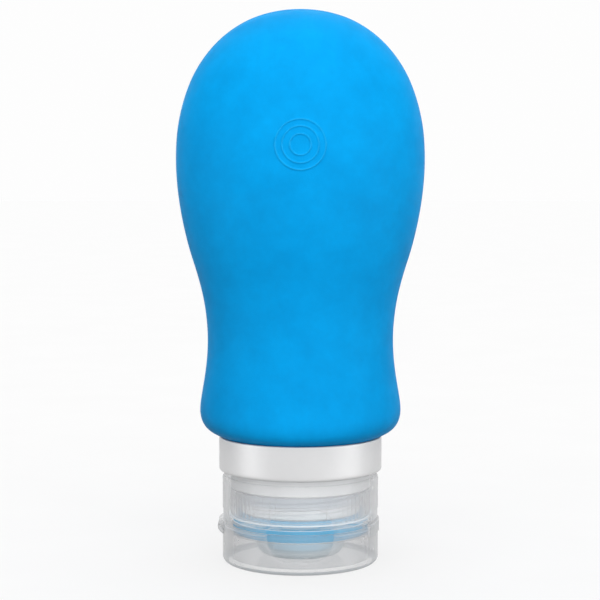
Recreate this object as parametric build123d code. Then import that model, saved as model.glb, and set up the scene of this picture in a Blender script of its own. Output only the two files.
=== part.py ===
from build123d import *
import math
import os

# Travel squeeze bottle that stands on its flip-top cap. Millimetres, +Z up.
#
# The origin is the centre of the face it stands on, which is the outside of the
# flip lid. +X points to the lid's thumb tab, -X to its hinge, and -Y is the
# broad face that carries three raised rings.

os.makedirs("parts", exist_ok=True)

# ---- squeeze body ---------------------------------------------------------
WALL = 2.0                # silicone wall
TOP_Z = 125.2             # crown of the head
# height, half width across X
HALF_WIDTH = [
    (29.0, 18.20), (29.5, 19.45), (30.3, 20.90), (31.5, 22.00), (33.2, 22.68),
    (35.2, 22.82), (38.2, 22.43), (42.4, 21.72), (47.0, 21.17), (51.6, 21.02),
    (56.1, 21.33), (60.7, 22.06), (65.2, 23.20), (72.0, 25.27), (78.8, 26.80),
    (85.5, 27.74), (92.0, 28.06), (98.9, 27.52), (105.6, 25.92), (110.1, 24.13),
    (114.5, 21.43), (118.0, 18.35), (121.2, 14.20), (123.2, 10.20), (124.5, 6.10),
    (125.05, 2.80),
]
# height, depth as a share of width
FLATTEN = [(29.0, 0.985), (31.0, 0.935), (34.0, 0.888), (42.0, 0.855),
           (52.0, 0.835), (65.0, 0.805), (80.0, 0.785), (92.0, 0.780), (126.0, 0.780)]
NECK_R_OUT = 17.05        # silicone neck inside the clamp ring
NECK_R_IN = 14.90
NECK_Z = 23.4             # free end of the silicone neck
RING_Z = 94.8             # centre of the raised rings on the -Y face
RING_R = [5.44, 3.96, 2.28]
RING_W = 0.55
RING_H = 0.22

# ---- neck insert ----------------------------------------------------------
MOUTH_R = 12.0
RIM_Z = 11.5
CORE_R = 13.7
SHOULDER_R = 15.9
SHOULDER_Z = 17.1
FLANGE_R = 17.0
FLANGE_Z = 22.25
SLEEVE_Z = 31.0
SLEEVE_R = 14.87          # just inside the silicone neck
PITCH = 3.0
MALE_CREST_R = 14.5
TURNS = 1.2

# ---- collar ---------------------------------------------------------------
COLLAR_R = 18.5
COLLAR_Z0, COLLAR_Z1 = 21.0, 28.9
CLAMP_R_OUT = 17.75

# ---- screw cap ------------------------------------------------------------
CAP_R = 17.75
CAP_WALL = 1.25
BASE_Z0, BASE_Z1 = 10.1, 19.9
DECK_Z0, DECK_Z1 = 9.7, 10.7
SKIRT_R_IN, SKIRT_R_OUT = 14.75, 15.65
SKIRT_Z = 16.9
FEMALE_CREST_R = 13.95
RIB_COUNT = 72
SPIGOT_R_OUT, SPIGOT_R_IN, SPIGOT_Z = 16.2, 15.5, 6.8
REVEAL_R = 17.2           # floor of the shallow groove above the lid's rim
GRIP_W, GRIP_H, GRIP_Z, GRIP_CORNER = 15.4, 12.1, 8.85, 4.9   # oval grip recess
GRIP_DEPTH = 0.3
PORT_R = 6.0

# ---- lid ------------------------------------------------------------------
LID_Z1 = 8.8
LID_FLOOR = 1.3
LID_R_IN = 16.55
TAB_R, TAB_Z0 = 18.0, 7.05
TAB_HALF = 30.5           # degrees either side of +X
NOTCH_HALF = 31.8
SCALLOP_DEPTH = 0.12      # above the tab and the hinge
HINGE_X, HINGE_Z = -18.77, 8.6
HINGE_HALF = 4.0
WEB_R = 0.30

# ---- valve and its retainer ----------------------------------------------
VALVE_R = 15.4
VALVE_Z0, VALVE_Z1 = 8.3, 9.7
DOME_R, DOME_Z = 8.7, 2.9
RIM_Z0, RIM_R = 7.0, 14.3
BOSS_R, BOSS_Z = 10.0, 1.7
ORIFICE_R = 3.2


def lerp(table, z):
    for (z0, a), (z1, b) in zip(table, table[1:]):
        if z <= z1:
            return a + (b - a) * (z - z0) / (z1 - z0)
    return table[-1][1]


def ring(r_out, r_in, z0, z1):
    """A plain tube standing on z0."""
    tube = Cylinder(r_out, z1 - z0, align=(Align.CENTER, Align.CENTER, Align.MIN))
    if r_in > 0:
        tube -= Cylinder(r_in, z1 - z0 + 2, align=(Align.CENTER, Align.CENTER, Align.MIN)).moved(Location((0, 0, -1)))
    return tube.moved(Location((0, 0, z0)))


def turned(points):
    """Revolves a closed outline of (radius, height) points about Z."""
    face = make_face(Polyline([(r, 0, z) for r, z in points], close=True))
    return revolve(face, Axis.Z, 360)


def prism_x(points, y0, y1):
    """Extrudes an outline of (x, z) points from y0 to y1."""
    face = make_face(Polyline([(x, y0, z) for x, z in points], close=True))
    return extrude(face, amount=y1 - y0, dir=(0, 1, 0))


def lofted(sections):
    return loft([Plane((0, 0, z)) * Ellipse(a, b) for z, a, b in sections])


def wedge(half, r, z0, z1, sign):
    """A sector about +X (sign 1) or -X (sign -1)."""
    a = math.radians(half)
    pts = [(0, 0), (r * math.cos(a) * 1.5, r * math.sin(a) * 1.5), (r * math.cos(a) * 1.5, -r * math.sin(a) * 1.5)]
    face = make_face(Polyline([(x * sign, y, z0) for x, y in pts], close=True))
    return extrude(face, amount=z1 - z0, dir=(0, 0, 1))


def thread(root_r, crest_r, z_start, turns, root_w, crest_w, phase):
    """A helical ridge from root_r to crest_r, outward or inward, right-handed."""
    sgn = 1 if crest_r > root_r else -1
    r0 = root_r - sgn * 0.12
    helix = Helix(pitch=PITCH, height=PITCH * turns, radius=r0, center=(0, 0, z_start))
    prof = make_face(Polyline([
        (r0, 0, z_start - root_w / 2), (crest_r, 0, z_start - crest_w / 2),
        (crest_r, 0, z_start + crest_w / 2), (r0, 0, z_start + root_w / 2)], close=True))
    ridge = sweep(prof, path=helix, is_frenet=True)
    return ridge.rotate(Axis.Z, phase)


def save(shape, name):
    solids = shape.solids()
    out = solids[0] if len(solids) == 1 else Compound(children=list(solids))
    out.label = name
    export_step(out, f"parts/{name}.step")
    print(name, len(solids), "solids", round(sum(s.volume for s in solids), 1), "mm3")
    return out


# ---- squeeze body: one silicone moulding, a flattened bulb on a round neck --
outer = [(z, w, w * lerp(FLATTEN, z)) for z, w in HALF_WIDTH]
shell = lofted(outer) + ring(NECK_R_OUT, 0, NECK_Z, 29.6)
inner = [(29.4, NECK_R_IN, NECK_R_IN), (31.0, 15.9, 15.5), (32.6, 18.6, 17.2)]
inner += [(z, a - WALL, b - WALL) for z, a, b in outer if 34.5 < z < 122.0]
inner += [(122.3, 10.0, 7.4), (123.0, 5.2, 3.6)]
cavity = lofted(inner) + ring(NECK_R_IN, 0, NECK_Z - 1, 29.6)
body = shell - cavity
proud = lofted([(z, a + RING_H, b + RING_H) for z, a, b in outer if 70 < z < 112])
for r in RING_R:
    tube = Cylinder(r + RING_W / 2, 12) - Cylinder(r - RING_W / 2, 14)
    tube = tube.rotate(Axis.X, 90).moved(Location((0, -22.2, RING_Z)))
    body = body + ((tube & proud) - lofted([(z, a - 0.5, b - 0.5) for z, a, b in outer if 70 < z < 112]))
save(body, "squeeze_body")

# ---- neck insert: rigid threaded mouth that the silicone neck is drawn over --
insert = turned([
    (MOUTH_R, RIM_Z + 0.3), (MOUTH_R + 0.3, RIM_Z), (CORE_R - 0.4, RIM_Z), (CORE_R, RIM_Z + 0.4),
    (CORE_R, SHOULDER_Z), (SHOULDER_R - 0.25, SHOULDER_Z), (SHOULDER_R, SHOULDER_Z + 0.25),
    (SHOULDER_R, FLANGE_Z), (FLANGE_R, FLANGE_Z), (FLANGE_R, NECK_Z - 0.03), (SLEEVE_R, NECK_Z - 0.03),
    (SLEEVE_R, 24.8), (SLEEVE_R - 0.35, 25.1), (SLEEVE_R - 0.35, 25.7), (SLEEVE_R, 26.0),
    (SLEEVE_R, 27.0), (SLEEVE_R - 0.35, 27.3), (SLEEVE_R - 0.35, 27.9), (SLEEVE_R, 28.2),
    (SLEEVE_R, SLEEVE_Z - 1.2), (SLEEVE_R - 0.8, SLEEVE_Z), (MOUTH_R + 1.2, SLEEVE_Z),
    (MOUTH_R, SLEEVE_Z - 2.0)])
insert = insert + thread(CORE_R, MALE_CREST_R, 12.75, TURNS, 1.3, 0.55, 0)
save(insert, "neck_insert")

# ---- clamp ring squeezes the silicone neck onto the insert's sleeve ---------
clamp = turned([
    (NECK_R_OUT + 0.02, 22.35), (CLAMP_R_OUT, 22.35), (CLAMP_R_OUT, 28.2), (CLAMP_R_OUT - 0.3, 28.5),
    (NECK_R_OUT + 0.02, 28.5)])
save(clamp, "clamp_ring")

# ---- collar shell: the satin sleeve seen between the body and the cap -------
collar = turned([
    (16.05, COLLAR_Z0), (17.75, COLLAR_Z0), (18.05, COLLAR_Z0 + 0.07), (18.29, COLLAR_Z0 + 0.21),
    (18.43, COLLAR_Z0 + 0.45), (COLLAR_R, COLLAR_Z0 + 0.75), (COLLAR_R, COLLAR_Z1 - 0.3),
    (COLLAR_R - 0.1, COLLAR_Z1 - 0.1), (COLLAR_R - 0.3, COLLAR_Z1), (17.85, COLLAR_Z1), (17.8, COLLAR_Z1 - 0.1),
    (17.8, 22.2), (16.05, 22.2)])
save(collar, "collar_shell")

# ---- cap gasket: washer between the mouth's rim and the cap's deck ----------
save(ring(14.4, 11.9, DECK_Z1, RIM_Z), "cap_gasket")

# ---- cap base: double-walled screw cap with a deck and a locating spigot ----
base = turned([
    (CAP_R - CAP_WALL, DECK_Z1), (CAP_R - CAP_WALL, BASE_Z1 - 0.2), (CAP_R - CAP_WALL + 0.2, BASE_Z1),
    (CAP_R - 0.62, BASE_Z1), (CAP_R - 0.3, BASE_Z1 - 0.12), (CAP_R - 0.09, BASE_Z1 - 0.34),
    (CAP_R, BASE_Z1 - 0.66), (CAP_R, BASE_Z0 + 0.15), (CAP_R - 0.15, BASE_Z0), (REVEAL_R, BASE_Z0),
    (REVEAL_R, LID_Z1 + 0.15), (SPIGOT_R_OUT, LID_Z1 + 0.15), (SPIGOT_R_OUT, 8.1), (SPIGOT_R_OUT + 0.22, 7.8),
    (SPIGOT_R_OUT + 0.22, 7.5), (SPIGOT_R_OUT, 7.2), (SPIGOT_R_OUT, SPIGOT_Z + 0.15),
    (SPIGOT_R_OUT - 0.15, SPIGOT_Z), (SPIGOT_R_IN - 0.35, SPIGOT_Z),
    (SPIGOT_R_IN - 0.35, RIM_Z0), (SPIGOT_R_IN, RIM_Z0), (SPIGOT_R_IN, DECK_Z0), (PORT_R, DECK_Z0),
    (PORT_R, DECK_Z1), (SKIRT_R_IN, DECK_Z1), (SKIRT_R_IN, SKIRT_Z - 0.3), (SKIRT_R_IN + 0.2, SKIRT_Z),
    (SKIRT_R_OUT, SKIRT_Z), (SKIRT_R_OUT, DECK_Z1)])
rib = Box(0.4, 0.42, SKIRT_Z - 0.25 - DECK_Z1 + 0.2, align=(Align.CENTER, Align.CENTER, Align.MIN))
rib = rib.moved(Location((SKIRT_R_OUT + 0.02, 0, DECK_Z1 - 0.2)))
base = base + [rib.rotate(Axis.Z, i * 360 / RIB_COUNT) for i in range(RIB_COUNT)]
base = base + thread(SKIRT_R_IN, FEMALE_CREST_R, 12.75 + PITCH / 2 - 1.2, 1.0, 1.2, 0.55, -144)


def notch(sign, z0, z1, r_floor, half):
    """A shallow recess in the outer wall, about +X or -X, with rounded upper corners."""
    w = CAP_R * math.sin(math.radians(half))
    plate = Plane((sign * CAP_R, 0, (z0 + z1) / 2), x_dir=(0, 1, 0), z_dir=(1, 0, 0)) * RectangleRounded(2 * w, z1 - z0, min(2.3, (z1 - z0) / 2.05))
    block = extrude(plate, amount=3.5, both=True)
    return block - ring(r_floor, 0, z0 - 1, z1 + 1)


base = base - notch(1, 7.4, 12.4, CAP_R - SCALLOP_DEPTH, NOTCH_HALF)
base = base - notch(-1, 7.4, 12.4, CAP_R - SCALLOP_DEPTH, 25.5)
base = base - (wedge(NOTCH_HALF, CAP_R, LID_Z1, 10.35, 1) - ring(SPIGOT_R_OUT, 0, 8, 11))


def grip():
    """Outline of a shallow oval grip recess, run through both broad sides."""
    oval = Plane((0, 0, 0), x_dir=(1, 0, 0), z_dir=(0, -1, 0)) * Location((0, GRIP_Z)) * RectangleRounded(GRIP_W, GRIP_H, GRIP_CORNER)
    return extrude(oval, amount=20, both=True)


grip_cut = grip()
base = base - (grip_cut & ring(CAP_R + 1, CAP_R - GRIP_DEPTH, BASE_Z0 - 0.01, 17.0))
base_land = prism_x([(HINGE_X, HINGE_Z + 0.05), (-18.68, 8.97), (-18.45, 9.30), (-17.75, 9.90), (-16.6, 10.3), (-16.6, 9.6)],
                    -HINGE_HALF, HINGE_HALF)
axle_cut = Cylinder(WEB_R, 2 * HINGE_HALF + 2).rotate(Axis.X, 90).moved(Location((HINGE_X, 0, HINGE_Z)))
base = base + (base_land - axle_cut)
save(base, "cap_base")

# ---- hinge web: the flexible fold, drawn as the bead that the lid turns on --
web = Cylinder(WEB_R, 2 * HINGE_HALF).rotate(Axis.X, 90).moved(Location((HINGE_X, 0, HINGE_Z)))
save(web, "hinge_web")

# ---- valve: soft slit valve whose wide flange lies under the deck -----------
valve = turned([
    (0, DOME_Z), (DOME_R - 2.4, DOME_Z), (DOME_R - 1.3, DOME_Z + 0.3), (DOME_R - 0.4, DOME_Z + 1.2),
    (DOME_R, DOME_Z + 2.4), (DOME_R, VALVE_Z0),
    (RIM_R, VALVE_Z0), (RIM_R, RIM_Z0 + 0.02), (VALVE_R, RIM_Z0 + 0.02), (VALVE_R, VALVE_Z1), (DOME_R - 1.0, VALVE_Z1),
    (DOME_R - 1.0, DOME_Z + 2.6), (DOME_R - 1.3, DOME_Z + 1.8), (DOME_R - 2.0, DOME_Z + 1.05),
    (DOME_R - 2.8, DOME_Z + 0.8), (0, DOME_Z + 0.8)])
slit = Box(4.6, 0.12, 3) + Box(0.12, 4.6, 3)
valve = valve - slit.moved(Location((0, 0, DOME_Z + 0.4)))
save(valve, "valve")

# ---- valve retainer: plate inside the valve's rim, with the nozzle boss ------
ret = turned([
    (DOME_R + 0.2, VALVE_Z0), (RIM_R - 0.05, VALVE_Z0), (RIM_R - 0.05, RIM_Z0), (BOSS_R, RIM_Z0), (BOSS_R, BOSS_Z + 2.4),
    (BOSS_R - 0.13, BOSS_Z + 1.75), (BOSS_R - 0.45, BOSS_Z + 1.1), (BOSS_R - 0.95, BOSS_Z + 0.55),
    (BOSS_R - 1.6, BOSS_Z + 0.17), (BOSS_R - 2.4, BOSS_Z),
    (ORIFICE_R + 0.25, BOSS_Z), (ORIFICE_R, BOSS_Z + 0.25), (ORIFICE_R, BOSS_Z + 0.9), (DOME_R - 2.3, BOSS_Z + 0.9),
    (DOME_R - 1.15, BOSS_Z + 1.2), (DOME_R - 0.2, BOSS_Z + 2.1), (DOME_R + 0.2, BOSS_Z + 3.5)])
save(ret, "valve_retainer")

# ---- lid: flip lid with thumb tab and hinge land ----------------------------
lid = turned([
    (0, 0), (CAP_R - 1.35, 0), (CAP_R - 0.83, 0.1), (CAP_R - 0.4, 0.4), (CAP_R - 0.1, 0.83), (CAP_R, 1.35),
    (CAP_R, LID_Z1 - 0.15), (CAP_R - 0.15, LID_Z1), (LID_R_IN, LID_Z1), (LID_R_IN, LID_FLOOR + 0.5),
    (LID_R_IN - 0.15, LID_FLOOR + 0.15), (LID_R_IN - 0.5, LID_FLOOR), (0, LID_FLOOR)])
lid = lid - (grip_cut & ring(CAP_R + 1, CAP_R - GRIP_DEPTH, 2.0, LID_Z1 + 0.5))
band = ring(TAB_R, LID_R_IN + 0.35, TAB_Z0, 11.5) & wedge(TAB_HALF, CAP_R, TAB_Z0, 11.5, 1)
arch = Plane((18, 0, 0), x_dir=(0, 1, 0), z_dir=(1, 0, 0)) * make_face(
    Polyline([(-9.4, 6.0), (9.4, 6.0), (9.4, 9.55)]) + ThreePointArc((9.4, 9.55), (0, 10.0), (-9.4, 9.55)) + Line((-9.4, 9.55), (-9.4, 6.0)))
band = band & extrude(arch, amount=3, both=True)
lid = lid + band
lid_land = prism_x([(HINGE_X, HINGE_Z - 0.05), (-18.71, 8.20), (-18.50, 7.80), (-17.75, 6.95), (-17.0, 6.3), (-17.0, 7.3)],
                   -HINGE_HALF, HINGE_HALF)
lid_cut = Cylinder(WEB_R + 0.06, 2 * HINGE_HALF + 2).rotate(Axis.X, 90).moved(Location((HINGE_X, 0, HINGE_Z)))
lid = lid + (lid_land - lid_cut)
save(lid, "lid")

print("cavity of the silicone body, ml:", round(cavity.volume / 1000, 1))
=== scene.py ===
import math

import bmesh
import bpy
import numpy as np
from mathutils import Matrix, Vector


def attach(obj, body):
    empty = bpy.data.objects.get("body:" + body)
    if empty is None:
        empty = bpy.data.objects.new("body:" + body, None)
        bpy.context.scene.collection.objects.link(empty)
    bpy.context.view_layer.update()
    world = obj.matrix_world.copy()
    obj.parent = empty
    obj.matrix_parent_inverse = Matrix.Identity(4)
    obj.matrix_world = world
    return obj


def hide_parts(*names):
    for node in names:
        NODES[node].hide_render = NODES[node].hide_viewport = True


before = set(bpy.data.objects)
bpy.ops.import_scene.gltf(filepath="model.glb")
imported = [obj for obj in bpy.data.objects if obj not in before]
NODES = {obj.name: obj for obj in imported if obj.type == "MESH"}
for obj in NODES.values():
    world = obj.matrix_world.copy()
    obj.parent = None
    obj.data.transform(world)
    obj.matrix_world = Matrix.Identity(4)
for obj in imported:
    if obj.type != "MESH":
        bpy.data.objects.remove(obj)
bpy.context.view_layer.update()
MM = 0.001
FRONT, BACK, TOP, RIGHT, WALLS = 1.74, 0.80, 1.25, 0.12, 0.05   # studio surround, by direction

# ---------------------------------------------------------------- body shape
HALF_WIDTH = [
    (29.0, 18.20), (29.5, 19.45), (30.3, 20.90), (31.5, 22.00), (33.2, 22.68),
    (35.2, 22.82), (38.2, 22.43), (42.4, 21.72), (47.0, 21.17), (51.6, 21.02),
    (56.1, 21.33), (60.7, 22.06), (65.2, 23.20), (72.0, 25.27), (78.8, 26.80),
    (85.5, 27.74), (92.0, 28.02), (98.9, 27.52), (105.6, 25.92), (110.1, 24.13),
    (114.5, 21.43), (118.0, 18.35), (121.2, 14.20), (123.2, 10.20)]
FLATTEN = [(29.0, 0.985), (31.0, 0.935), (34.0, 0.888), (42.0, 0.855),
           (52.0, 0.835), (65.0, 0.805), (80.0, 0.785), (92.0, 0.780), (126.0, 0.780)]
CROWN = 125.0
WALL = 2.0
RING_Z = 94.8
RING_R = [5.44, 3.96, 2.28]
RING_W = 0.62
RING_H = 0.22


def spline(xs, ys):
    """Monotone-safe cubic through the points, as a function of x."""
    xs, ys = np.array(xs, float), np.array(ys, float)
    h = np.diff(xs)
    d = np.diff(ys) / h
    m = np.zeros(len(xs))
    m[1:-1] = (d[:-1] * h[1:] + d[1:] * h[:-1]) / (h[:-1] + h[1:])
    m[0], m[-1] = d[0], d[-1]

    def f(x):
        x = np.asarray(x, float)
        i = np.clip(np.searchsorted(xs, x) - 1, 0, len(h) - 1)
        t = (x - xs[i]) / h[i]
        return ((1 + 2 * t) * (1 - t) ** 2 * ys[i] + t * (1 - t) ** 2 * h[i] * m[i]
                + t * t * (3 - 2 * t) * ys[i + 1] + t * t * (t - 1) * h[i] * m[i + 1])
    return f


flat_of = spline([p[0] for p in FLATTEN], [p[1] for p in FLATTEN])


def body_profile():
    """The outline as arc-length samples (half width, height) from the rim to the crown."""
    pts = [(w, z) for z, w in HALF_WIDTH]
    # the crown closes as a shallow dome through the last measured point
    w0, z0 = pts[-1][0], pts[-1][1]
    for k in np.linspace(1, 0, 12)[1:]:
        pts.append((w0 * k, CROWN - (CROWN - z0) * k ** 2.1))
    pts = np.array(pts)
    s = np.concatenate([[0], np.cumsum(np.hypot(np.diff(pts[:, 0]), np.diff(pts[:, 1])))])
    fine = np.linspace(0, s[-1], 3000)
    w = spline(s, pts[:, 0])(fine)
    z = spline(s, pts[:, 1])(fine)
    # smoothed along the arc so that the measured points leave no facets
    ker = np.hanning(121)
    ker /= ker.sum()
    wp = np.concatenate([2 * w[0] - w[60:0:-1], w, -w[-2:-62:-1]])
    zp = np.concatenate([2 * z[0] - z[60:0:-1], z, z[-2:-62:-1]])
    w = np.convolve(wp, ker, "valid")
    z = np.convolve(zp, ker, "valid")
    w[-1] = 0.0
    return w, np.minimum(z, CROWN)


def make_mesh(name, verts, faces, smooth_angle=35.0):
    me = bpy.data.meshes.new(name)
    me.from_pydata([tuple(v) for v in verts], [], [tuple(f) for f in faces])
    me.update()
    me.validate()
    me.shade_smooth()
    me.set_sharp_from_angle(angle=math.radians(smooth_angle))
    ob = bpy.data.objects.new(name, me)
    bpy.context.scene.collection.objects.link(ob)
    return ob


def squeeze_body():
    pw, pz = body_profile()
    s = np.concatenate([[0], np.cumsum(np.hypot(np.diff(pw), np.diff(pz)))])
    # rows: about 1 mm apart, and 0.11 mm apart across the rings
    zs_of = lambda q: np.interp(q, s, pz)
    s_lo = s[np.searchsorted(pz[:2400], RING_Z - 6.6)]
    s_hi = s[np.searchsorted(pz[:2400], RING_Z + 6.6)]
    rows = np.concatenate([
        np.linspace(0, 8, 26)[:-1], np.linspace(8, s_lo, 56)[:-1], np.linspace(s_lo, s_hi, 121)[:-1],
        np.linspace(s_hi, s[-1], 46)])
    W, Z = np.interp(rows, s, pw), zs_of(rows)
    # columns: fine across the rings on -Y
    b = 28.0 * 0.78
    half = math.degrees(math.asin(6.6 / 28.0))
    cols = np.radians(np.concatenate([
        np.linspace(-90 - half, -90 + half, 121)[:-1], np.linspace(-90 + half, 270 - half, 119)[:-1]]))
    n, m = len(cols), len(rows)
    verts, faces, crest = [], [], []
    for j in range(m - 1):
        a, bb = W[j], W[j] * float(flat_of(Z[j]))
        x, y = a * np.cos(cols), bb * np.sin(cols)
        nx, ny = np.cos(cols) / max(a, 1e-6), np.sin(cols) / max(bb, 1e-6)
        L = np.hypot(nx, ny)
        r = np.hypot(x, Z[j] - RING_Z)
        lift = np.zeros(n)
        for rr in RING_R:
            t = np.clip(1 - ((r - rr) / (RING_W / 2)) ** 2, 0, 1)
            lift += RING_H * t ** 1.5
        lift = np.where(y < 0, lift, 0)
        crest += [bool(v) for v in lift > 0.5 * RING_H]
        x, y = x + lift * nx / L, y + lift * ny / L
        verts += [(x[i] * MM, y[i] * MM, Z[j] * MM) for i in range(n)]
    top = len(verts)
    verts.append((0, 0, CROWN * MM))
    for j in range(m - 2):
        for i in range(n):
            k = (i + 1) % n
            faces.append((j * n + i, j * n + k, (j + 1) * n + k, (j + 1) * n + i))
    for i in range(n):
        faces.append(((m - 2) * n + i, (m - 2) * n + (i + 1) % n, top))
    # underside, neck and inner wall, from the rim inwards and back up to the inner crown
    inner = [(17.6, 28.96), (17.3, 28.9), (17.05, 28.7), (17.05, 23.5), (14.95, 23.5), (14.95, 29.6), (15.9, 31.0), (18.4, 33.0)]
    pick = np.linspace(np.searchsorted(Z[:120], 35.0), m - 8, 40).astype(int)
    inner += [(W[j] - WALL, Z[j]) for j in pick if Z[j] < 121.8]
    inner += [(9.6, 122.2), (5.0, 122.8)]
    prev = 0
    for q, (a, z) in enumerate(inner):
        fl = 1.0 if z < 31 else float(flat_of(z))
        bb = a if z < 31 else max((a + WALL) * fl - WALL, 1.0)
        if z >= 122.2:
            bb = a * 0.74
        base = len(verts)
        verts += [(a * math.cos(c) * MM, bb * math.sin(c) * MM, z * MM) for c in cols]
        for i in range(n):
            k = (i + 1) % n
            faces.append((prev + k, prev + i, base + i, base + k))
        prev = base
    end = len(verts)
    verts.append((0, 0, 123.0 * MM))
    for i in range(n):
        faces.append((prev + (i + 1) % n, prev + i, end))
    ob = make_mesh("silicone_body", verts, faces, 60)
    crest = np.array(crest + [False] * (len(verts) - len(crest)))
    # faces on the ring crests take the second material, whose lighter colour is a painted highlight
    for poly in ob.data.polygons:
        poly.material_index = int(all(crest[v] for v in poly.vertices))
    return ob


# ---------------------------------------------------------------- turned pieces
def ease(v, lo, hi):
    t = np.clip((np.asarray(v, float) - lo) / (hi - lo), 0, 1)
    return t * t * (3 - 2 * t)


def outline(points, closed):
    """Rounds the corners of an outline. Each point is (radius, height, corner radius, rows to the next, name of that run)."""
    n = len(points)
    rs, zs, tags = [], [], []
    for i, (r, z, f, rows, tag) in enumerate(points):
        here = np.array([r, z], float)
        prev = np.array(points[i - 1][:2], float) if (closed or i > 0) else None
        nxt = np.array(points[(i + 1) % n][:2], float) if (closed or i < n - 1) else None
        if f > 0 and prev is not None and nxt is not None:
            u, v = prev - here, nxt - here
            lu, lv = np.hypot(*u), np.hypot(*v)
            u, v = u / lu, v / lv
            ang = math.acos(max(-1, min(1, float(u @ v))))
            t = min(f / math.tan(ang / 2), 0.48 * lu, 0.48 * lv)
            rad = t * math.tan(ang / 2)
            a, b = here + u * t, here + v * t
            mid = (u + v) / np.hypot(*(u + v))
            c = here + mid * rad / math.sin(ang / 2)
            a0, a1 = math.atan2(*(a - c)[::-1]), math.atan2(*(b - c)[::-1])
            d = (a1 - a0 + math.pi) % (2 * math.pi) - math.pi
            seg = max(3, int(abs(d) / math.radians(13)))
            arc = [c + rad * np.array([math.cos(a0 + d * k / seg), math.sin(a0 + d * k / seg)]) for k in range(seg + 1)]
        else:
            arc = [here]
        for q in arc:
            rs.append(q[0]); zs.append(q[1]); tags.append("corner%d" % i)
        tags[-1] = tag or "corner%d" % i
        if nxt is not None and rows > 1:
            # the run's far end is the next corner's first tangent point
            nr, nz, nf = points[(i + 1) % n][:3]
            far = np.array([nr, nz], float)
            if nf > 0:
                after = points[(i + 2) % n][:2]
                u, v = here - far, np.array(after, float) - far
                lu, lv = np.hypot(*u), np.hypot(*v)
                ang = math.acos(max(-1, min(1, float((u / lu) @ (v / lv)))))
                far = far + u / lu * min(nf / math.tan(ang / 2), 0.48 * lu, 0.48 * lv)
            start = arc[-1]
            for k in range(1, rows):
                q = start + (far - start) * k / rows
                rs.append(q[0]); zs.append(q[1]); tags.append(tag)
    return np.array(rs), np.array(zs), np.array(tags)


def lathe(name, r, z, theta, closed, smooth_angle=40.0, zone=None):
    """r and z are arrays of (rows, columns); rows run along the outline, counter-clockwise in (r, z).
    zone gives each point's material, and a face takes it where its corners agree."""
    m, n = r.shape
    x, y = r * np.cos(theta), r * np.sin(theta)
    verts = np.stack([x, y, z], -1).reshape(-1, 3) * MM
    faces = []
    poles = [j for j in (0, m - 1) if not closed and abs(r[j]).max() < 1e-6]
    for j in range(m if closed else m - 1):
        k = (j + 1) % m
        for i in range(n):
            l = (i + 1) % n
            if j in poles:
                faces.append((j * n, k * n + l, k * n + i))
            elif k in poles:
                faces.append((j * n + i, j * n + l, k * n))
            else:
                faces.append((j * n + i, j * n + l, k * n + l, k * n + i))
    used = sorted(set(v for f in faces for v in f))
    at = {v: i for i, v in enumerate(used)}
    ob = make_mesh(name, verts[used], [tuple(at[v] for v in f) for f in faces], smooth_angle)
    if zone is not None:
        which = zone.reshape(-1)[used]
        for poly in ob.data.polygons:
            vals = {int(which[v]) for v in poly.vertices}
            poly.material_index = vals.pop() if len(vals) == 1 else 0
    return ob


def grip_dip(x, z):
    """How deep the shallow grip recess on the broad sides is here, 0 to 1."""
    qx = np.abs(x) - (15.4 / 2 - 4.9)
    qz = np.abs(z - 8.85) - (12.1 / 2 - 4.9)
    d = np.hypot(np.maximum(qx, 0), np.maximum(qz, 0)) + np.minimum(np.maximum(qx, qz), 0) - 4.9
    return 1 - ease(d, -0.22, 0.0)


def scallop(y, z, half):
    """The thumb scallop above the tab and the one above the hinge, 0 to 1."""
    qy = np.abs(y) - (half - 2.3)
    qz = z - (12.4 - 2.3)
    d = np.hypot(np.maximum(qy, 0), np.maximum(qz, 0)) + np.minimum(np.maximum(qy, qz), 0) - 2.3
    return 1 - ease(d, -0.25, 0.0)


COLUMNS = 432
THETA = np.arange(COLUMNS) * 2 * math.pi / COLUMNS
OFF_X = np.abs((THETA + math.pi) % (2 * math.pi) - math.pi)      # angle from +X


def grid(r, z):
    return np.repeat(r[:, None], COLUMNS, 1), np.repeat(z[:, None], COLUMNS, 1), np.repeat(THETA[None], len(r), 0)


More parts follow.
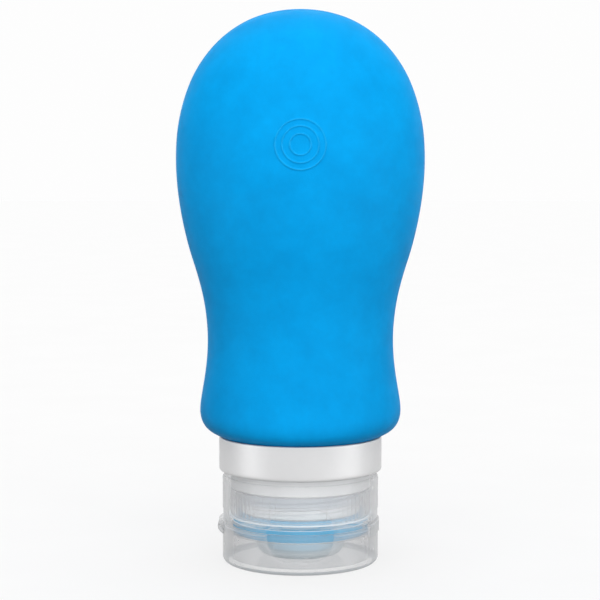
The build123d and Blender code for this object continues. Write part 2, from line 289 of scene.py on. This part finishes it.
def lid_piece():
    r, z, tag = outline([
        (0, 0, 0, 6, "face"), (17.75, 0, 1.35, 46, "outer"), (17.75, 8.8, 0.28, 1, "corner2"), (16.55, 8.8, 0.28, 26, "inner"),
        (16.55, 1.3, 0.5, 14, "floor"), (0, 1.3, 0, 1, "")], False)
    R, Z, T = grid(r, z)
    tab = 1 - ease(np.degrees(OFF_X), 29.8, 30.5)
    lift = tab * (0.75 + 0.43 * np.cos(np.clip(OFF_X / math.radians(30.5), 0, 1) * math.pi / 2))
    up = (tag != "face") & (tag != "floor") & (r > 15)
    upper = up[:, None] & (Z > 6.0)
    Z2 = Z + lift[None] * ease(Z, 7.0, 8.8) * upper
    rim_mid = 17.15
    outside, inside = upper & (R > rim_mid), upper & (R <= rim_mid)
    R = R + outside * 0.25 * tab[None] * ease(Z2, 7.0, 7.25)
    R = R + inside * 0.35 * tab[None] * ease(Z2, 8.7, 8.95)
    on_wall = (np.abs(R - 17.75) < 0.001) | ((tag == "outer")[:, None])
    X = R * np.cos(T)
    dip = grip_dip(X, Z2) * (np.abs(np.sin(T)) > 0.8)
    window = (dip > 0.97) & (R > 16.3) & (Z2 > 1.5)
    window |= (tag == "floor")[:, None] & (R < 16.4)
    # zone 2, the rounded rim corners, takes the polished edge material with its painted highlight line
    zone = np.where(window, 1, np.isin(tag, ["corner2", "corner3"])[:, None] * 2)
    # zone 3, the outer part of the lid's face, takes the darker foot material: painted shade
    zone = np.where((r > 12)[:, None] & (Z2 < 1.35) & (zone == 0) & np.isin(tag, ["face", "outer", "corner1"])[:, None], 3, zone)
    zone = np.where(((tag == "inner") | (tag == "corner4"))[:, None] & (zone == 0) & (r < 16.6)[:, None], 4, zone)
    on_tab = (tab > 0.5)[None] & (Z2 > 7.02) & (R > 17.3)
    zone = np.where(on_tab & (zone != 1), 5, zone)
    # the ends of the tab take the painted highlight line as well
    tab_end = ((np.degrees(OFF_X) > 29.4) & (np.degrees(OFF_X) < 30.9))[None] & (Z2 > 7.0) & (R > 17.3)
    zone = np.where(tab_end, 2, zone)
    R = R - 0.30 * dip * (R > 17.0)
    return lathe("lid_moulding", R, Z2, T, False, zone=zone)


def base_piece():
    r, z, tag = outline([
        (16.5, 10.7, 0.3, 10, ""), (16.5, 19.9, 0.25, 1, ""), (17.75, 19.9, 0.62, 46, "outer"), (17.75, 10.1, 0.28, 1, ""),
        (17.2, 10.1, 0.1, 1, ""), (17.2, 8.95, 0.12, 2, ""), (16.2, 8.95, 0.1, 1, ""), (16.2, 8.1, 0.1, 1, ""),
        (16.42, 7.75, 0.12, 1, ""), (16.2, 7.2, 0.1, 1, ""), (16.2, 6.8, 0.2, 1, ""), (15.15, 6.8, 0.08, 1, ""),
        (15.15, 7.0, 0, 1, ""), (15.5, 7.0, 0, 4, ""), (15.5, 9.7, 0.1, 10, ""), (6.0, 9.7, 0.2, 1, ""),
        (6.0, 10.7, 0.2, 8, ""), (14.75, 10.7, 0.12, 34, "thread"), (14.75, 16.9, 0.2, 1, ""),
        (15.65, 16.9, 0.2, 24, "ribs"), (15.65, 10.7, 0.2, 1, "")], True)
    # the outline above runs clockwise, so it is turned round to keep the normals outwards
    r, z, tag = r[::-1], z[::-1], tag[::-1]
    R, Z, T = grid(r, z)
    X, Y = R * np.cos(T), R * np.sin(T)
    wall = (R > 17.3) & (Z > 9.9)
    dip = 0.30 * grip_dip(X, Z) * (np.abs(np.sin(T)) > 0.8)
    window = (dip > 0.29) & (R > 16.3)
    side = 0.12 * np.where(X > 0, scallop(Y, Z, 9.35), scallop(Y, Z, 7.64)) * (np.abs(np.cos(T)) > 0.8)
    R = np.where(wall, R - np.maximum(dip, side), R)
    # room for the risen edge of the thumb tab
    gap = 1 - ease(np.degrees(OFF_X), 31.1, 31.8)
    reveal = (R > 16.6) & (Z < 10.4) & (Z > 8.9)
    low = reveal & (R < 17.3)
    R = np.where(low, R - gap[None] * (R - 16.22), R)
    Z = np.where(reveal & (Z > 9.9), Z + 0.25 * gap[None], Z)
    # fine ribs on the skirt, taller at the sides, where they show through the wall
    rib = np.where((np.arange(COLUMNS) % 6) < 2, 1.0, 0.0)
    side = np.abs(np.cos(2 * np.pi * np.arange(COLUMNS) / COLUMNS))
    rib = rib * (0.15 + 0.21 * np.clip((side - 0.25) / 0.35, 0, 1))
    R = np.where((tag == "ribs")[:, None], R + rib[None] * ease(Z, 10.8, 11.3) * (1 - ease(Z, 16.2, 16.6)), R)
    # female thread
    turn = ((T + math.radians(144)) % (2 * math.pi)) / (2 * math.pi)
    zc = 13.05 + 3.0 * turn
    bump_h = 1 - ease(np.abs(Z - zc), 0.28, 0.6)
    ends = ease(turn, 0.0, 0.05) * (1 - ease(turn, 0.95, 1.0))
    R = np.where((tag == "thread")[:, None], R - 0.8 * bump_h * ends, R)
    # zone 2, three rounded corners, takes the polished edge material with its painted highlight line
    zone = np.where(window, 1, np.isin(tag, ["corner3", "corner8", "corner10"])[:, None] * 2)
    # zone 3, the foot of the ribs, takes the more opaque copy that paints light lines there
    root = (tag == "ribs")[:, None] & (Z < 11.5)
    zone = np.where(root & (zone == 0), 3, zone)
    shell_in = ((np.abs(r - 16.5) < 0.05) & (z > 10.9) & (z < 19.8) | (z > 19.3) & (r < 17.6)
                | (r > 15.1) & (r < 16.45) & (z < 9.5))[:, None]
    zone = np.where(shell_in & (zone == 0), 4, zone)
    # zone 5, the deck, takes the lighter glowing copy of the plastic: painted glow
    deck = ((r < 16.65) & (z > 9.5) & (z < 10.95))[:, None]
    zone = np.where(deck, 5, zone)
    return lathe("cap_moulding", R, Z, T, True, zone=zone)


def collar_piece():
    r, z, tag = outline([
        (16.05, 21.0, 0.2, 2, ""), (18.5, 21.0, 0.75, 12, ""), (18.5, 28.9, 0.3, 1, ""), (17.8, 28.9, 0.1, 8, ""),
        (17.8, 22.2, 0.05, 2, ""), (16.05, 22.2, 0.1, 1, "")], True)
    R, Z, T = grid(r, z)
    return lathe("collar_sleeve", R, Z, T, True)


def land(name, pts, half, soft):
    """A hinge land: a bar of (x, z) outline along Y whose outline is smooth and whose ends are rounded off."""
    ctl = np.array(pts, float)
    # Chaikin's corner cutting on the outer points, which come first, keeps the tip and the root where they are
    for _ in range(3):
        q = [ctl[0]]
        for u, v in zip(ctl[:-1], ctl[1:]):
            q += [0.75 * u + 0.25 * v, 0.25 * u + 0.75 * v]
        q.append(ctl[-1])
        ctl = np.array(q)
    mid = ctl.mean(0)
    n = len(ctl)
    slices = [(-half, 1 - 0.3 * soft), (-half + 0.08 * soft, 1 - 0.13 * soft), (-half + 0.3 * soft, 1 - 0.03 * soft), (-half + 0.6 * soft, 1.0)]
    slices += [(-y, k) for y, k in slices[::-1]]
    verts, faces = [], []
    for y, k in slices:
        for c in ctl:
            w = mid + (c - mid) * k
            verts.append((w[0] * MM, y * MM, w[1] * MM))
    for j in range(len(slices) - 1):
        for i in range(n):
            l = (i + 1) % n
            faces.append((j * n + i, j * n + l, (j + 1) * n + l, (j + 1) * n + i))
    faces.append(tuple(range(n - 1, -1, -1)))
    faces.append(tuple(range((len(slices) - 1) * n, len(slices) * n)))
    ob = make_mesh(name, verts, faces, 40)
    bm = bmesh.new()
    bm.from_mesh(ob.data)
    bmesh.ops.recalc_face_normals(bm, faces=bm.faces)
    bm.to_mesh(ob.data)
    bm.free()
    return ob


# ---------------------------------------------------------------- materials
def base_material(name):
    m = bpy.data.materials.new(name)
    m.use_nodes = True
    nt = m.node_tree
    return m, nt, nt.nodes["Principled BSDF"]


def noise(nt, scale, detail=4, rough=0.55, coords=None):
    n = nt.nodes.new("ShaderNodeTexNoise")
    n.inputs["Scale"].default_value = scale
    n.inputs["Detail"].default_value = detail
    n.inputs["Roughness"].default_value = rough
    if coords is None:
        coords = nt.nodes.new("ShaderNodeTexCoord").outputs["Object"]
    nt.links.new(coords, n.inputs["Vector"])
    return n


def ramp(nt, fac, stops):
    r = nt.nodes.new("ShaderNodeValToRGB")
    el = r.color_ramp.elements
    while len(el) < len(stops):
        el.new(0.5)
    for e, (p, c) in zip(el, stops):
        e.position = p
        e.color = tuple(c) + ((1.0,) if len(c) == 3 else ())
    nt.links.new(fac, r.inputs["Fac"])
    return r


def bump(nt, height, strength, distance, after=None):
    b = nt.nodes.new("ShaderNodeBump")
    b.inputs["Strength"].default_value = strength
    b.inputs["Distance"].default_value = distance
    nt.links.new(height, b.inputs["Height"])
    if after is not None:
        nt.links.new(after, b.inputs["Normal"])
    return b.outputs["Normal"]


def silicone(name, dark, mid, light, gloss=0.03):
    """Matte moulded silicone: blotchy bloom over an even dye, and a fine matte grain."""
    m, nt, p = base_material(name)
    blot = noise(nt, 120, 7, 0.70)
    c = ramp(nt, blot.outputs["Fac"], [(0.30, dark), (0.52, mid), (0.74, light)])
    nt.links.new(c.outputs["Color"], p.inputs["Base Color"])
    rr = ramp(nt, noise(nt, 320, 3).outputs["Fac"], [(0.3, (0.50,) * 3), (0.7, (0.60,) * 3)])
    nt.links.new(rr.outputs["Color"], p.inputs["Roughness"])
    g = bump(nt, noise(nt, 2600, 3, 0.6).outputs["Fac"], 0.22, 0.00012)
    g = bump(nt, blot.outputs["Fac"], 0.06, 0.0004, g)
    nt.links.new(g, p.inputs["Normal"])
    p.inputs["Specular IOR Level"].default_value = gloss
    p.inputs["Diffuse Roughness"].default_value = 0.05
    return m


def frosted(name, colour_a, colour_b, thin, thick, rough=0.25, trans=0.12, sheen=0.25):
    """Frosted natural polypropylene: milky where the light crosses it at a slant, clearer face on."""
    m, nt, p = base_material(name)
    c = ramp(nt, noise(nt, 140, 3).outputs["Fac"], [(0.3, colour_a), (0.7, colour_b)])
    nt.links.new(c.outputs["Color"], p.inputs["Base Color"])
    rr = ramp(nt, noise(nt, 420, 3).outputs["Fac"], [(0.3, (rough - 0.03,) * 3), (0.7, (rough + 0.03,) * 3)])
    nt.links.new(rr.outputs["Color"], p.inputs["Roughness"])
    nt.links.new(bump(nt, noise(nt, 900, 2).outputs["Fac"], 0.04, 0.0001), p.inputs["Normal"])
    lw = nt.nodes.new("ShaderNodeLayerWeight")
    lw.inputs["Blend"].default_value = 0.5
    al = ramp(nt, lw.outputs["Facing"], [(0.10, (thin,) * 3), (0.55, (thin + 0.28 * (thick - thin),) * 3), (0.97, (thick,) * 3)])
    nt.links.new(al.outputs["Color"], p.inputs["Alpha"])
    p.inputs["Transmission Weight"].default_value = trans
    p.inputs["IOR"].default_value = 1.40
    p.inputs["Sheen Weight"].default_value = sheen
    p.inputs["Sheen Roughness"].default_value = 0.45
    return m


def pearl(name):
    """Satin pearl coat on the collar, with a fine lustre grain."""
    m, nt, p = base_material(name)
    c = ramp(nt, noise(nt, 60, 4).outputs["Fac"], [(0.3, (0.610, 0.610, 0.615)), (0.7, (0.660, 0.660, 0.665))])
    nt.links.new(c.outputs["Color"], p.inputs["Base Color"])
    rr = ramp(nt, noise(nt, 900, 3).outputs["Fac"], [(0.3, (0.40,) * 3), (0.7, (0.50,) * 3)])
    nt.links.new(rr.outputs["Color"], p.inputs["Roughness"])
    nt.links.new(bump(nt, noise(nt, 3000, 2).outputs["Fac"], 0.08, 0.0001), p.inputs["Normal"])
    p.inputs["Metallic"].default_value = 0.45
    return m


def natural(name):
    """Natural white polypropylene, satin, with a painted blue-tinted shade towards its threaded end and a faint painted
    glow.
    """
    m, nt, p = base_material(name)
    c = ramp(nt, noise(nt, 110, 3).outputs["Fac"], [(0.3, (0.67, 0.68, 0.69)), (0.7, (0.73, 0.74, 0.75))])
    # its threaded end is thinner. There its colour is tinted blue and darkened in a band, a painted blue cast and
    # painted shade standing in for light from the seals beside it
    tc = nt.nodes.new("ShaderNodeTexCoord")
    axes = nt.nodes.new("ShaderNodeSeparateXYZ")
    nt.links.new(tc.outputs["Object"], axes.inputs["Vector"])
    height = nt.nodes.new("ShaderNodeMapRange")
    height.inputs["From Min"].default_value = 0.0115
    height.inputs["From Max"].default_value = 0.0185
    nt.links.new(axes.outputs["Z"], height.inputs["Value"])
    painted_blue_shade = ramp(nt, height.outputs["Result"], [(0.0, (0.86, 0.95, 1.0)), (0.30, (0.92, 0.97, 1.0)), (0.42, (0.56, 0.65, 0.73)), (0.70, (0.52, 0.60, 0.68)), (0.80, (1.0, 1.0, 1.0))])
    mix = nt.nodes.new("ShaderNodeMix")
    mix.data_type = "RGBA"
    mix.blend_type = "MULTIPLY"
    mix.inputs[0].default_value = 1.0
    nt.links.new(c.outputs["Color"], mix.inputs[6])
    nt.links.new(painted_blue_shade.outputs["Color"], mix.inputs[7])
    nt.links.new(mix.outputs[2], p.inputs["Base Color"])
    rr = ramp(nt, noise(nt, 500, 3).outputs["Fac"], [(0.3, (0.34,) * 3), (0.7, (0.44,) * 3)])
    nt.links.new(rr.outputs["Color"], p.inputs["Roughness"])
    nt.links.new(bump(nt, noise(nt, 1800, 3).outputs["Fac"], 0.07, 0.0001), p.inputs["Normal"])
    # painted glow: a faint emission stands in for light that has passed through the thin wall
    p.inputs["Emission Color"].default_value = (0.92, 0.96, 1.0, 1)
    p.inputs["Emission Strength"].default_value = 0.085
    return m


def dress(ob, *mats):
    index = [p.material_index for p in ob.data.polygons] if len(mats) > 1 else None
    ob.data.materials.clear()
    for mat in mats:
        ob.data.materials.append(mat)
    if index:
        ob.data.polygons.foreach_set("material_index", index)


M_BODY = silicone("silicone_body", (0.000, 0.268, 0.624), (0.000, 0.295, 0.676), (0.000, 0.324, 0.732))
# the ring crests: a glossier, lighter copy of the body silicone, a painted highlight along each crest
M_RING_HIGHLIGHT = silicone("silicone_ring_crest_painted_highlight", (0.000, 0.285, 0.63), (0.000, 0.315, 0.68), (0.000, 0.35, 0.73), 0.12)
M_SEAL = silicone("silicone_seal", (0.000, 0.31, 0.57), (0.000, 0.34, 0.62), (0.000, 0.37, 0.67))
M_GASKET = silicone("silicone_gasket", (0.08, 0.40, 0.66), (0.10, 0.43, 0.70), (0.12, 0.46, 0.74))
M_FROST = frosted("frosted_pp", (0.60, 0.61, 0.625), (0.64, 0.65, 0.665), 0.20, 0.86)
M_LID = frosted("frosted_lid", (0.555, 0.565, 0.58), (0.595, 0.605, 0.62), 0.28, 0.88)
# rounded corners: polished, and a lighter, more opaque copy of the plastic that paints a highlight line along them
M_EDGE_HIGHLIGHT = frosted("polished_edge_painted_highlight", (0.60, 0.62, 0.64), (0.64, 0.66, 0.68), 0.40, 0.74, rough=0.15)
# the foot of the ribs: a more opaque, slightly bluer copy of the cap plastic that paints light lines there
M_SOLID_HIGHLIGHT = frosted("milky_pp_painted_highlight", (0.60, 0.635, 0.665), (0.64, 0.675, 0.705), 0.45, 0.88)
M_DECK_GLOW = frosted("milky_deck_painted_glow", (0.74, 0.80, 0.85), (0.79, 0.85, 0.90), 0.70, 0.86)
# painted glow: a lighter colour and an emission stand in for light that has passed through the outer wall and reaches
# the deck
M_DECK_GLOW.node_tree.nodes["Principled BSDF"].inputs["Emission Color"].default_value = (0.85, 0.94, 1.0, 1)
M_DECK_GLOW.node_tree.nodes["Principled BSDF"].inputs["Emission Strength"].default_value = 0.24
# the lid's foot: milky, and a darker copy of the lid plastic, a painted shade
M_FOOT_SHADE = frosted("milky_foot_painted_shade", (0.42, 0.46, 0.49), (0.46, 0.50, 0.53), 0.76, 0.92)
M_INNER = frosted("frosted_inside", (0.54, 0.55, 0.565), (0.58, 0.59, 0.605), 0.16, 0.24)
M_CLEAR = frosted("polished_grip", (0.46, 0.49, 0.51), (0.49, 0.52, 0.54), 0.10, 0.60, rough=0.08, sheen=0.05)
M_LAND = frosted("frosted_hinge", (0.52, 0.53, 0.54), (0.56, 0.57, 0.58), 0.50, 0.88)
M_NOZZLE = frosted("frosted_nozzle", (0.58, 0.67, 0.72), (0.63, 0.72, 0.77), 0.50, 0.82)
M_PEARL = pearl("pearl_satin")
M_NAT = natural("natural_pp")

body = squeeze_body()
dress(body, M_BODY, M_RING_HIGHLIGHT)
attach(body, "bottle")
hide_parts("squeeze_body")

dress(NODES["neck_insert"], M_NAT)
dress(NODES["clamp_ring"], M_NAT)
collar = collar_piece()
dress(collar, M_PEARL)
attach(collar, "bottle")
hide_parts("collar_shell")
dress(NODES["cap_gasket"], M_GASKET)
dress(NODES["valve"], M_SEAL)
dress(NODES["valve_retainer"], M_NOZZLE)
cap = base_piece()
cap_land = land("hinge_land_cap", [(-18.66, 8.69), (-18.74, 9.00), (-18.66, 9.42), (-18.25, 9.82), (-17.60, 10.12), (-17.3, 10.1), (-17.2, 9.7), (-17.6, 9.14), (-18.4, 8.69)], 4.0, 1.0)
dress(cap, M_FROST, M_CLEAR, M_EDGE_HIGHLIGHT, M_SOLID_HIGHLIGHT, M_INNER, M_DECK_GLOW)
dress(cap_land, M_LAND)
for o in (cap, cap_land):
    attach(o, "cap")
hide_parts("cap_base")
# the thin fold between the two lands
fold = land("hinge_fold", [(-18.58, 8.44), (-18.74, 8.45), (-18.81, 8.60), (-18.74, 8.75), (-18.58, 8.76), (-18.52, 8.60)], 3.9, 1.0)
dress(fold, M_LAND)
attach(fold, "cap")
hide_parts("hinge_web")
lid = lid_piece()
lid_land = land("hinge_land_lid", [(-18.66, 8.51), (-18.74, 8.20), (-18.62, 7.80), (-18.22, 7.25), (-17.65, 6.72), (-17.4, 6.70), (-17.3, 7.3), (-17.6, 7.9), (-18.4, 8.51)], 4.0, 1.0)
dress(lid, M_LID, M_CLEAR, M_EDGE_HIGHLIGHT, M_FOOT_SHADE, M_INNER, M_LAND)
dress(lid_land, M_LAND)
for o in (lid, lid_land):
    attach(o, "flip_lid")
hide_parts("lid")
# frosted plastic passes the light on, so it doesn't darken what is inside it
for o in (cap, cap_land, lid, lid_land, fold, NODES["valve_retainer"],
          NODES["valve"], NODES["cap_gasket"], NODES["neck_insert"]):
    o.visible_diffuse = False
    o.visible_shadow = o is lid

# ---------------------------------------------------------------- floor, light, camera
floor_mesh = bpy.data.meshes.new("floor")
R = 3.0
floor_mesh.from_pydata([(-R, -R, 0), (R, -R, 0), (R, R, 0), (-R, R, 0)], [], [(0, 1, 2, 3)])
floor = bpy.data.objects.new("floor", floor_mesh)
bpy.context.scene.collection.objects.link(floor)
fm, fnt, fp = base_material("floor_paper")
fc = ramp(fnt, noise(fnt, 30, 2).outputs["Fac"], [(0.3, (0.246, 0.246, 0.246)), (0.7, (0.254, 0.254, 0.254))])
fnt.links.new(fc.outputs["Color"], fp.inputs["Base Color"])
fp.inputs["Roughness"].default_value = 0.9
fp.inputs["Specular IOR Level"].default_value = 0.0
fp.inputs["Emission Color"].default_value = (1, 1, 1, 1)
fp.inputs["Emission Strength"].default_value = 0.665
dress(floor, fm)
floor.visible_diffuse = False
floor.visible_shadow = False

world = bpy.data.worlds.new("studio")
bpy.context.scene.world = world
world.use_nodes = True
wt = world.node_tree
bg = wt.nodes["Background"]
bg.inputs["Color"].default_value = (1, 1, 1, 1)
# a white sweep behind, a bright front and top, and unlit studio walls at the sides
sep = wt.nodes.new("ShaderNodeSeparateXYZ")
wt.links.new(wt.nodes.new("ShaderNodeTexCoord").outputs["Generated"], sep.inputs["Vector"])


def wmath(op, a, b=None, c=None):
    n = wt.nodes.new("ShaderNodeMath")
    n.operation = op
    for k, v in enumerate((a, b, c)):
        if v is None:
            continue
        if isinstance(v, (int, float)):
            n.inputs[k].default_value = v
        else:
            wt.links.new(v, n.inputs[k])
    return n.outputs[0]


def smooth(v, lo, hi):
    n = wt.nodes.new("ShaderNodeMapRange")
    n.interpolation_type = "SMOOTHSTEP"
    n.inputs["From Min"].default_value = lo
    n.inputs["From Max"].default_value = hi
    wt.links.new(v, n.inputs["Value"])
    return n.outputs["Result"]


front = smooth(sep.outputs["Y"], -0.26, -0.88)
back = smooth(sep.outputs["Y"], 0.45, 0.85)
top = smooth(sep.outputs["Z"], 0.25, 0.90)
right = smooth(sep.outputs["X"], 0.0, 0.8)
# less of it from below and from the left, and a dark camera side for reflections
front = wmath("MULTIPLY", front, wmath("MULTIPLY_ADD", smooth(sep.outputs["Z"], 0.0, -0.6), -0.92, 1.0))
front = wmath("MULTIPLY", front, wmath("MULTIPLY_ADD", smooth(sep.outputs["X"], -0.1, -0.85), -0.42, 1.0))
paths = wt.nodes.new("ShaderNodeLightPath")
middle = smooth(wmath("ABSOLUTE", sep.outputs["X"]), 0.75, 0.05)
dark = wmath("MULTIPLY", wmath("MULTIPLY", middle, paths.outputs["Is Glossy Ray"]), -0.52)
front = wmath("MULTIPLY", front, wmath("ADD", dark, 1.0))
lit = wmath("MULTIPLY_ADD", front, FRONT, WALLS)
lit = wmath("MULTIPLY_ADD", back, BACK, lit)
lit = wmath("MULTIPLY_ADD", top, TOP, lit)
lit = wmath("MULTIPLY_ADD", right, RIGHT, lit)
sides = smooth(wmath("ABSOLUTE", sep.outputs["X"]), 0.55, 0.85)
lit = wmath("MULTIPLY_ADD", wmath("MULTIPLY", sides, paths.outputs["Is Glossy Ray"]), 1.25, lit)
lit = wmath("MULTIPLY_ADD", wmath("MULTIPLY", back, paths.outputs["Is Glossy Ray"]), 0.30, lit)
seen = paths.outputs["Is Camera Ray"]
mixv = wmath("MULTIPLY_ADD", seen, wmath("SUBTRACT", 0.985, lit), lit)
wt.links.new(mixv, bg.inputs["Strength"])


def softbox(name, pos, aim, w, h, power):
    d = bpy.data.lights.new(name, "AREA")
    d.shape = "RECTANGLE"
    d.size, d.size_y = w, h
    d.energy = power
    o = bpy.data.objects.new(name, d)
    o.location = pos
    o.rotation_euler = (Vector(aim) - Vector(pos)).to_track_quat("-Z", "Y").to_euler()
    bpy.context.scene.collection.objects.link(o)
    return o


for sx in (-1, 1):
    strip = softbox("strip" + "LR"[sx > 0], (sx * 0.62, -0.18, 0.06), (0, 0, 0.03), 0.22, 0.35, 0.75)
    strip.visible_diffuse = False
    strip.visible_transmission = False
    # a gridded lamp on each side, level with the upper half of the bottle
    lamp = softbox("lamp" + "LR"[sx > 0], (sx * 0.37, -0.26, 0.118), (0, 0, 0.108), 0.12, 0.05, 0.010)
    lamp.data.spread = math.radians(24)
    lamp.visible_glossy = False
    lamp.visible_transmission = False

cam_data = bpy.data.cameras.new("camera")
cam_data.sensor_width = 36.0
cam_data.sensor_fit = "HORIZONTAL"
cam_data.lens = 1850.0 / 600.0 * 36.0
cam_data.clip_start = 0.01
cam = bpy.data.objects.new("camera", cam_data)
cam.location = (-0.00009, -0.4181, 0.093558)
cam.rotation_euler = (math.radians(90 - 4.635), 0, 0)
bpy.context.scene.collection.objects.link(cam)
bpy.context.scene.camera = cam
bpy.context.scene.view_settings.view_transform = "Standard"
bpy.context.scene.cycles.transparent_max_bounces = 48
bpy.context.scene.cycles.max_bounces = 16
bpy.context.scene.cycles.transmission_bounces = 16
